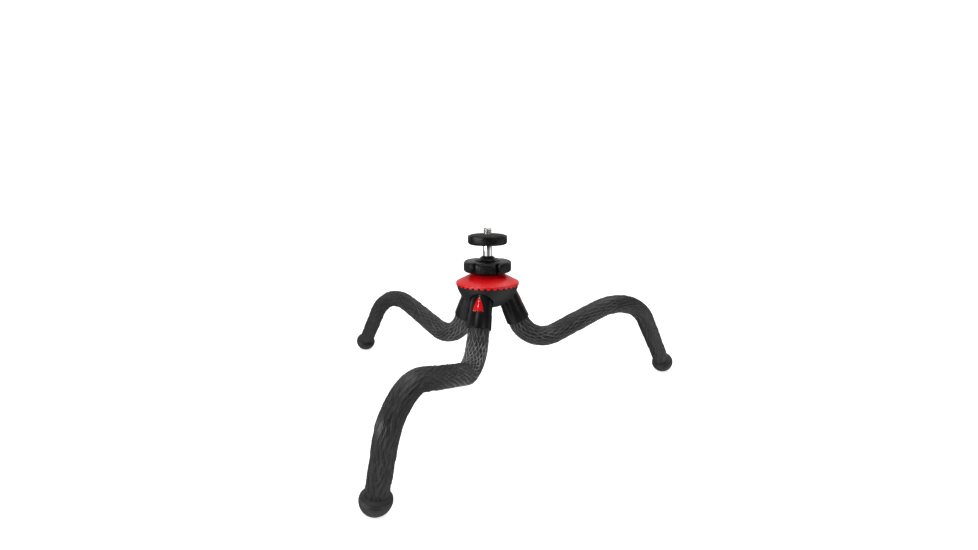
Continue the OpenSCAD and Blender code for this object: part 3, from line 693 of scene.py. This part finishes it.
def skinTree():  # a tapered tube along a path, embossed with a net of ridges round long rhombic scales
    s = skinStyle
    nodes, size = newTree("scaleSkin", {
        "Path": "Geometry", "Cells Round": "Float", "Cell Length": "Float", "Depth": "Float",
        "Tilt": "Float", "Warp": "Float", "Calm": "Float", "Ridge": "Float", "Streak Length": "Float",
        "Squeeze Reach": "Int", "Ring Step": "Float", "Ring Points": "Int", "Start Radius": "Float",
        "End Radius": "Float", "Seed": "Float", "Highlight From": "Float", "Highlight To": "Float",
        "Worn": "Float", "Finish": "Material"})

    def captured(geometry, value, kind="FLOAT"):
        held = nodes.add("GeometryNodeCaptureAttribute", {"captured": kind}, {"Geometry": geometry, 1: value})
        return held, Field(nodes, held.socket.node.outputs[1])

    def vectorMaths(operation, *values, output=0):
        return nodes.add("ShaderNodeVectorMath", {"operation": operation}, dict(enumerate(values)), output)

    share = nodes.add("GeometryNodeSplineParameter", output="Factor")
    length = nodes.add("GeometryNodeSplineParameter", output="Length")
    radius = size["Start Radius"] + (size["End Radius"] - size["Start Radius"]) * share
    count = nodes.add("GeometryNodeAttributeDomainSize", {"component": "CURVE"}, {
        "Geometry": size["Path"]})
    reach = size["Squeeze Reach"]
    centre = nodes.add("GeometryNodeInputIndex").most(reach).least(count - 1 - reach)

    def placeAt(index):
        return nodes.add("GeometryNodeFieldAtIndex", {"data_type": "FLOAT_VECTOR"}, {
            "Value": nodes.add("GeometryNodeInputPosition"), "Index": index})

    ends = vectorMaths("ADD", placeAt(centre - reach), placeAt(centre + reach))
    turning = vectorMaths("SUBTRACT", ends, vectorMaths("ADD", placeAt(centre), placeAt(centre)))
    path, bendWay = captured(size["Path"], turning, "VECTOR")
    path, distance = captured(path, length)
    path, thickness = captured(path, radius)
    circle = nodes.add("GeometryNodeCurvePrimitiveCircle", {"mode": "RADIUS"}, {
        "Resolution": size["Ring Points"], "Radius": 1.0})
    ring, turn = captured(circle, nodes.add("GeometryNodeInputIndex") / size["Ring Points"])
    tube = nodes.add("GeometryNodeCurveToMesh", None, {
        "Curve": path, "Profile Curve": ring, "Scale": radius, "Fill Caps": True})
    normal = nodes.add("GeometryNodeInputNormal")
    span = reach * size["Ring Step"]
    squeeze = vectorMaths("DOT_PRODUCT", bendWay, normal, output="Value") * thickness / (span * span)
    bearing = turn * (2 * math.pi)

    def wander(lapsRound, stepAlong, offset, detail=1.5):  # noise that closes round the leg
        place = nodes.vector(bearing.cos() * lapsRound, bearing.sin() * lapsRound, distance / stepAlong)
        return nodes.add("ShaderNodeTexNoise", {"noise_dimensions": "4D"}, {
            "Vector": place, "W": size["Seed"] + offset, "Scale": 1.0, "Detail": detail})

    around = turn * size["Cells Round"] + (wander(*s["warpRound"]) - 0.5) * size["Warp"] * 2
    up = distance / size["Cell Length"] + (wander(*s["warpAlong"]) - 0.5) * size["Warp"] * 2
    first = around + up
    second = around - up
    firstIn = first - first.floor()
    secondIn = second - second.floor()
    row = first.floor() - second.floor()
    column = (first.floor() + second.floor()) % (size["Cells Round"] * 2)
    luck = nodes.add("ShaderNodeTexWhiteNoise", {"noise_dimensions": "4D"}, {
        "Vector": nodes.vector(row, column, 0.0), "W": size["Seed"]})
    streaks = wander(s["streakLaps"], size["Streak Length"], s["streakOffset"])
    streak = streaks.smooth(*s["streakEdges"])

    def ridgeOf(within, offset):  # along the borders of one set of rows, fading in and out
        border = 1 - (0.5 - abs(within - 0.5)).smooth(0.0, size["Ridge"])
        shown = wander(*s["ridgeFade"], offset).smooth(*s["fadeEdges"])
        return border * (s["faintRidge"] + shown * (1 - s["faintRidge"]))

    firstOffset, secondOffset = s["ridgeOffsets"]
    ridge = ridgeOf(firstIn, firstOffset).most(ridgeOf(secondIn, secondOffset))
    lean = (luck - 0.5) * (firstIn - secondIn) * size["Tilt"]
    under = 0 - nodes.add("ShaderNodeSeparateXYZ", None, {0: normal}, output="Z")
    bent = abs(squeeze).smooth(*s["highlightBend"])
    near = 1 - distance.smooth(size["Highlight From"], size["Highlight To"])
    # ridges under the leg and round its bends are fuller, and painted paler as a painted highlight
    worn = size["Worn"] * near * under.smooth(*s["highlightUnder"]).most(bent * s["highlightAtBend"])
    vigour = (size["Calm"] + (1 - size["Calm"]) * squeeze.smooth(*s["squeezeEdges"])).most(worn)
    relief = ((ridge + lean) * vigour * s["netShare"] + streak * (1 - s["netShare"])).most(0).least(1)
    inwards = nodes.add("ShaderNodeVectorMath", {"operation": "SCALE"}, {
        0: normal, "Scale": (relief - 1) * size["Depth"]})
    embossed = nodes.add("GeometryNodeSetPosition", None, {"Geometry": tube, "Offset": inwards})
    for name, value in (("relief", ridge * vigour), ("tone", luck), ("streak", streak), ("worn", worn)):
        embossed = nodes.add("GeometryNodeStoreNamedAttribute", None, {
            "Geometry": embossed, "Name": name, "Value": value})
    smooth = nodes.add("GeometryNodeSetShadeSmooth", None, {"Geometry": embossed})
    return endTree(nodes, smooth, size["Finish"])


def skinPath(name):  # stations along the leg, and the ones where a piece of skin ends
    stations = []
    borders = []
    last = len(stretches(name)) - 1
    for i, (start, stretch) in enumerate(zip(legStarts(name), stretches(name))):
        low = -legStyle["spigot"] if i == 0 else 0
        high = stretch[3] - (legStyle["footBore"] if i == last else 0)
        count = max(2, round((high - low) / skinStyle["ringStep"]))
        for k in range(1 if i else 0, count + 1):
            stations.append((start @ along(stretch, low + (high - low) * k / count)).translation)
        borders.append(len(stations) - 1)
    return stations, [0] + borders[1:]


def pathCurve(name, stations):
    curve = bpy.data.curves.new(name, "CURVE")
    curve.dimensions = "3D"
    spline = curve.splines.new("POLY")
    spline.points.add(len(stations) - 1)
    for point, place in zip(spline.points, stations):
        point.co = (*place, 1)
    return curve


def ringSlice(name, whole, first, last):  # the skin between two rings, with the whole skin's normals
    ring = skinStyle["ringPoints"]
    low, high = first * ring, (last + 1) * ring
    faces = [tuple(v - low for v in p.vertices) for p in whole.polygons
             if min(p.vertices) >= low and max(p.vertices) < high]
    mesh = bpy.data.meshes.new(name)
    mesh.from_pydata([whole.vertices[i].co for i in range(low, high)], [], faces)
    for attributeName in ("relief", "tone", "streak", "worn"):
        values = np.zeros(len(whole.vertices), np.float32)
        whole.attributes[attributeName].data.foreach_get("value", values)
        mesh.attributes.new(attributeName, "FLOAT", "POINT").data.foreach_set("value", values[low:high])
    mesh.shade_smooth()
    mesh.normals_split_custom_set_from_vertices([whole.vertex_normals[i].vector for i in range(low, high)])
    return mesh


def blendEnds(name, k):  # where the skin starts and stops turning at the leg's joint k
    stretch = stretches(name)[k]
    start = legStarts(name)[k]
    middle = start @ along(stretch, stretch[3] / 2)
    reach = stretch[3] / 2
    if stretch[1]:
        reach = (stretch[2] - legStyle["topRadius"]) * math.sin(math.radians(stretch[1]) / 2)
    tangent = middle.col[2].to_3d()
    return middle.translation - tangent * reach, middle.translation + tangent * reach


def makeSkins():
    s = skinStyle
    tree = skinTree()
    for name in legs:
        stations, borders = skinPath(name)
        whole = grown(name + "_skin_whole", tree, {
            "Cells Round": float(s["cellsRound"]), "Cell Length": s["cellLength"], "Depth": s["depth"],
            "Tilt": s["tilt"], "Warp": s["warp"], "Calm": s["calm"], "Ridge": s["ridge"],
            "Streak Length": s["streakLength"], "Squeeze Reach": s["squeezeReach"],
            "Ring Step": s["ringStep"], "Ring Points": s["ringPoints"],
            "Start Radius": legStyle["topRadius"] + s["proud"],
            "End Radius": legStyle["endRadius"] + s["proud"], "Seed": float(s["seed"]),
            "Highlight From": s["highlightFrom"], "Highlight To": s["highlightTo"], "Worn": s["worn"][name],
            "Finish": finishes["skin_rubber"]}, pathCurve(name + "_path", stations))
        for k in range(1, 5):
            pieceName = f"{name}_scales_{k}"
            mesh = ringSlice(pieceName, whole, borders[k - 1], borders[k])
            piece = newPiece(pieceName, mesh, "skin_rubber", None, [name + "_skin"])
            start, end = blendEnds(name, k)
            above = "hub" if k == 1 else f"{name}_leg_{k - 1}"
            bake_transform(piece, above, f"{name}_leg_{k}", start=start, end=end)
        print("skin:", name, len(whole.polygons), "faces")


collarStyle = {"length": 27 * mm, "radius": 9 * mm, "topRadius": 7.75 * mm, "stepRise": 11 * mm,
               "step": 0.25 * mm, "stepSlope": 0.05 * mm, "bore": 7.35 * mm, "boreDepth": 4.3 * mm,
               "coreBore": 4.35 * mm, "boreEdge": 0.25 * mm, "lowEdge": 0.5 * mm, "topEdge": 0.4 * mm,
               "stepEdges": (0.12 * mm, 0.1 * mm), "segments": 160}


def collarRadius(rise):
    slope = (collarStyle["topRadius"] - collarStyle["radius"]) / collarStyle["length"]
    return collarStyle["radius"] + slope * rise


def collarFrame(name):  # Z runs up the collar, X points outwards
    return collarEnd(legs[name]) @ turned(180, "X")


def makeCollars():
    s = collarStyle
    low = collarRadius(s["stepRise"])
    outerEdge, innerEdge = s["stepEdges"]
    outline = rounded([
        (s["bore"], 0, s["boreEdge"]), (s["radius"], 0, s["lowEdge"]), (low, s["stepRise"], outerEdge),
        (low - s["step"], s["stepRise"] + s["stepSlope"], innerEdge),
        (s["topRadius"], s["length"], s["topEdge"]), (s["coreBore"], s["length"]),
        (s["coreBore"], s["boreDepth"]), (s["bore"], s["boreDepth"])])
    for name in legs:
        mesh = lathe(name + "_sleeve", outline, s["segments"])
        mesh.transform(collarFrame(name))
        newPiece(name + "_sleeve", mesh, "collar_plastic", "hub", [name + "_collar"])


inlayStyle = {"rise": 12 * mm, "height": 10.2 * mm, "width": 7.6 * mm, "sideRadius": 22 * mm,
              "proud": 0.22 * mm, "edgeProud": 0.06 * mm, "sunk": 0.5 * mm, "edgeShare": 0.975,
              "sideShare": 0.4, "middle": 0.33, "crown": 1.35, "sharpAngle": 60, "sideSteps": 28, "rings": 14}


def inlayOutline():  # a tall triangle with bowed sides, as (up the collar, across it)
    half = inlayStyle["width"] / 2
    top = inlayStyle["height"]
    chord = math.hypot(half, top)
    bow = math.sqrt(inlayStyle["sideRadius"] ** 2 - chord ** 2 / 4)
    centre = Vector((top / 2 - bow * half / chord, half / 2 - bow * top / chord))
    spoke = Vector((0, half)) - centre
    swing = spoke.angle_signed(Vector((top, 0)) - centre)
    steps = inlayStyle["sideSteps"]
    side = []
    for k in range(steps + 1):
        arm = spoke.copy()
        arm.rotate(Matrix.Rotation(-swing * k / steps, 2))
        side.append(centre + arm)
    base = [Vector((0, -half + 2 * half * k / steps)) for k in range(1, steps)]
    return side + [Vector((p.x, -p.y)) for p in reversed(side[:-1])] + base


def makeInlays():
    outline = inlayOutline()
    middle = Vector((inlayStyle["height"] * inlayStyle["middle"], 0))
    edgeShare = inlayStyle["edgeShare"]
    rings = inlayStyle["rings"]
    for name in legs:
        bm = bmesh.new()
        edgeLayer = bm.verts.layers.float.new("edge")

        def ring(share, lift):
            made = []
            for point in outline:
                spot = middle + (point - middle) * share
                rise = inlayStyle["rise"] + spot.x
                radius = collarRadius(rise) + lift
                vertex = bm.verts.new((math.sqrt(radius ** 2 - spot.y ** 2), spot.y, rise))
                vertex[edgeLayer] = 1.0 if share >= edgeShare else 0.0
                made.append(vertex)
            return made

        rows = [ring(1.0, -inlayStyle["sunk"]), ring(1.0, inlayStyle["edgeProud"] * inlayStyle["sideShare"]),
                ring(edgeShare, inlayStyle["edgeProud"])]
        for k in range(1, rings):
            t = k / rings
            climb = 1 - (1 - t) ** inlayStyle["crown"]
            lift = inlayStyle["edgeProud"] + (inlayStyle["proud"] - inlayStyle["edgeProud"]) * climb
            rows.append(ring(edgeShare * (1 - t), lift))
        for first, second in zip(rows, rows[1:]):
            for i in range(len(outline)):
                j = (i + 1) % len(outline)
                bm.faces.new((first[i], first[j], second[j], second[i]))
        bm.faces.new(rows[-1])
        bm.faces.new(list(reversed(rows[0])))
        bmesh.ops.recalc_face_normals(bm, faces=bm.faces)
        mesh = meshFrom(name + "_triangle", bm, inlayStyle["sharpAngle"])
        mesh.transform(collarFrame(name))
        newPiece(name + "_triangle", mesh, "inlay_red", "hub", [name + "_inlay"])


footStyle = {"radius": 9.05 * mm, "sleeve": 3.2 * mm, "shoulder": (2.9 * mm, 2.2 * mm), "slope": 1.5,
             "crease": -0.8 * mm, "creaseWidth": 0.6 * mm, "creaseDepth": 0.3 * mm, "bore": 5.6 * mm,
             "boreEnd": 1 * mm, "boreEdge": 0.2 * mm, "spread": 1.3, "steps": 60, "segments": 144}


def footOutline():  # a short sleeve with a sloping shoulder, a shallow crease and a dome
    s = footStyle
    across, tall = s["shoulder"]
    outline = [(0, -s["boreEnd"], 0.0), (s["bore"], -s["boreEnd"], 0.0),
               (s["bore"], -s["sleeve"] + s["boreEdge"], 0.0)]
    for k in range(s["steps"] + 1):
        climb = math.sin(math.pi / 2 * k / s["steps"]) ** s["spread"]
        height = -s["sleeve"] + (s["radius"] + s["sleeve"]) * climb
        radius = s["radius"]
        if height < -s["sleeve"] + tall:
            radius -= across * max(0, 1 - (height + s["sleeve"]) / tall) ** s["slope"]
        elif height > 0:
            radius = math.sqrt(max(0, s["radius"] ** 2 - height ** 2))
        radius -= s["creaseDepth"] * math.exp(-((height - s["crease"]) / s["creaseWidth"]) ** 2)
        outline.append((max(0, radius), height, 0.0))
    return outline


def makeFeet():
    for name in legs:
        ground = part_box(name + "_foot")[0].z
        mesh = lathe(name + "_cap", footOutline(), footStyle["segments"])
        mesh.transform(legStarts(name)[-1])
        bm = bmesh.new()
        bm.from_mesh(mesh)
        cut = bmesh.ops.bisect_plane(bm, geom=bm.verts[:] + bm.edges[:] + bm.faces[:], dist=1e-7,
                                     plane_co=(0, 0, ground), plane_no=(0, 0, -1), clear_outer=True)
        rim = [e for e in cut["geom_cut"] if isinstance(e, bmesh.types.BMEdge)]
        bmesh.ops.holes_fill(bm, edges=rim)
        newPiece(name + "_cap", meshFrom(name + "_cap", bm), "foot_rubber", f"{name}_leg_4", [name + "_foot"])


# Floor, light and camera

stageStyle = {"floorStart": 0.001, "floorRadius": 1.6, "bow": 1.4, "wallHeight": 3.2, "steps": 24,
              "segments": 96, "colour": (0.9, 0.9, 0.9, 1), "floorGlow": 0.76, "wallGlow": 1.0,
              "glowEdges": (0.4, 1.4),
              "roomFront": 0.06, "roomBack": 0.5, "roomEdges": (-0.2, 0.7), "floorDim": 0.16,
              "floorBright": 1.1, "floorEdges": (-0.12, -0.05), "brightPatches": ((-76, -8), (54, 112)),
              "patchBlur": 8, "deepPatch": (0, 130), "deepBlur": 30, "deepEdges": (-0.5, -0.3),
              "deepBright": 0.9}
lights = {
    "leftBox": {"place": (-0.76, -0.8, -0.01), "size": (1.1, 0.24), "power": 5.2},
    "rightBox": {"place": (0.88, -0.66, 0.17), "size": (0.7, 0.2), "power": 1.4},
    "keyBox": {"place": (-0.31, -0.86, 0.72), "size": (0.1, 0.3), "power": 1.8},
    "topBox": {"place": (0.15, 0.05, 1.0), "size": (1.6, 1.2), "power": 10.5},
}
cameraStyle = {"place": (0.1032, -0.3825, 0.0431), "heading": 14.94, "pitch": 10.47, "lens": 19.95,
               "sensor": 36.0, "nearest": 0.01}


def makeFloor():  # a pale round floor that bows up into a wall, not seen in reflections, casting no shadow
    s = stageStyle
    profile = [(s["floorStart"], 0.0), (s["floorRadius"], 0.0)]
    for k in range(1, s["steps"] + 1):
        a = math.pi / 2 * k / s["steps"]
        profile.append((s["floorRadius"] + s["bow"] * math.sin(a), s["bow"] * (1 - math.cos(a))))
    profile.append((s["floorRadius"] + s["bow"], s["wallHeight"]))
    ground = cadBox[0].z
    places = []
    for radius, height in profile:
        for k in range(s["segments"]):
            a = 2 * math.pi * k / s["segments"]
            places.append((radius * math.cos(a), radius * math.sin(a), ground + height))
    count = s["segments"]
    faces = []
    for i in range(len(profile) - 1):
        for k in range(count):
            here, beyond = i * count, (i + 1) * count
            following = (k + 1) % count
            faces.append((here + k, here + following, beyond + following, beyond + k))
    mesh = bpy.data.meshes.new("floor")
    mesh.from_pydata(places, [], faces + [tuple(range(count))])
    away = np.repeat([radius + height for radius, height in profile], count).astype(np.float32)
    mesh.attributes.new("away", "FLOAT", "POINT").data.foreach_set("value", away)
    mesh.shade_smooth()
    floor = bpy.data.objects.new("floor", mesh)
    bpy.context.scene.collection.objects.link(floor)
    floor.visible_diffuse = False
    floor.visible_glossy = False
    floor.visible_shadow = False
    material, nodes, shader = newFinish("pale floor", Roughness=0.9, Specular_IOR_Level=0.2,
                                        Base_Color=s["colour"], Emission_Strength=1.0)
    far = nodes.attribute("away").smooth(*s["glowEdges"])
    nodes.feed(shader.inputs["Emission Color"],
               nodes.colourMix(far, (s["floorGlow"],) * 3, (s["wallGlow"],) * 3))
    mesh.materials.append(material)


def makeRoom():  # what the pieces reflect: a dim room, paler behind, with bright places on its floor
    s = stageStyle
    world = bpy.data.worlds.new("studio")
    world.use_nodes = True
    nodes = Nodes(world.node_tree)
    heading = math.radians(cameraStyle["heading"])
    way = nodes.add("ShaderNodeTexCoord", output="Generated")

    def towards(x, y):
        return nodes.add("ShaderNodeVectorMath", {"operation": "DOT_PRODUCT"},
                         {0: way, 1: (x, y, 0)}, output="Value")

    behind = towards(-math.sin(heading), math.cos(heading))
    aside = towards(math.cos(heading), math.sin(heading))
    bearing = aside.maths("ARCTAN2", aside, -1 * behind) * (180 / math.pi)

    def between(first, last, blur):  # 1 between two bearings
        return bearing.smooth(first, first + blur) * (1 - bearing.smooth(last - blur, last))

    height = nodes.add("ShaderNodeSeparateXYZ", None, {0: way}, output="Z")
    walls = s["roomFront"] + (s["roomBack"] - s["roomFront"]) * behind.smooth(*s["roomEdges"])
    left, right = (between(*patch, s["patchBlur"]) for patch in s["brightPatches"])
    shallow = s["floorDim"] + (s["floorBright"] - s["floorDim"]) * left.most(right)
    deep = between(*s["deepPatch"], s["deepBlur"]) * (1 - height.smooth(*s["deepEdges"]))
    ground = shallow.most(deep * s["deepBright"])
    low = 1 - height.smooth(*s["floorEdges"])
    room = world.node_tree.nodes["Background"]
    room.inputs["Color"].default_value = (1, 1, 1, 1)
    nodes.feed(room.inputs["Strength"], walls + (ground - walls) * low)
    bpy.context.scene.world = world


def makeLights():
    middle = Vector((0, 0, cadBox[0].z / 2))
    for name, style in lights.items():
        data = bpy.data.lights.new(name, "AREA")
        data.shape = "RECTANGLE"
        data.size, data.size_y = style["size"]
        data.energy = style["power"]
        lamp = bpy.data.objects.new(name, data)
        lamp.location = style["place"]
        aim = middle - Vector(style["place"])
        lamp.rotation_euler = aim.to_track_quat("-Z", "Y").to_euler()
        lamp.visible_camera = False
        bpy.context.scene.collection.objects.link(lamp)


def makeCamera():
    data = bpy.data.cameras.new("camera")
    data.lens = cameraStyle["lens"]
    data.sensor_width = cameraStyle["sensor"]
    data.clip_start = cameraStyle["nearest"]
    camera = bpy.data.objects.new("camera", data)
    heading = math.radians(cameraStyle["heading"])
    pitch = math.radians(cameraStyle["pitch"])
    level = math.cos(pitch)
    looking = Vector((-math.sin(heading) * level, math.cos(heading) * level, -math.sin(pitch)))
    camera.location = cameraStyle["place"]
    camera.rotation_euler = looking.to_track_quat("-Z", "Y").to_euler()
    bpy.context.scene.collection.objects.link(camera)
    bpy.context.scene.camera = camera


def dressNodes():  # the nodes that are shown as they are
    for entry in frame["record"]["subparts"]:
        mesh = frame["nodes"][entry["node"]].data
        mesh.materials.clear()
        mesh.materials.append(finishes[entry["material_slot"]])


def jointGap():  # how far the legs' path strays from the joints
    gaps = []
    for name in legs:
        for k, joint in enumerate(("bend_1", "sway_1", "bend_2", "sway_2"), 1):
            stretch = stretches(name)[k]
            middle = (legStarts(name)[k] @ along(stretch, stretch[3] / 2)).translation
            gaps.append((Vector(joints[f"{name}_{joint}"]["pos_m"]) - middle).length)
    return max(gaps)


makeCamera()
makeFloor()
makeRoom()
makeLights()
print("floor, room and camera: done, with", len(lights), "lights")
dressNodes()
makePlatform()
makePad()
makeStud()
makeStem()
makeKnob()
makeCover()
makeHub()
print("head: done")
makeCollars()
makeInlays()
makeFeet()
print("collars, inlays and feet: done")
makeSkins()
print("legs: the path meets the joints within", round(jointGap() / mm, 4), "mm")

bpy.context.scene.view_settings.view_transform = "Standard"
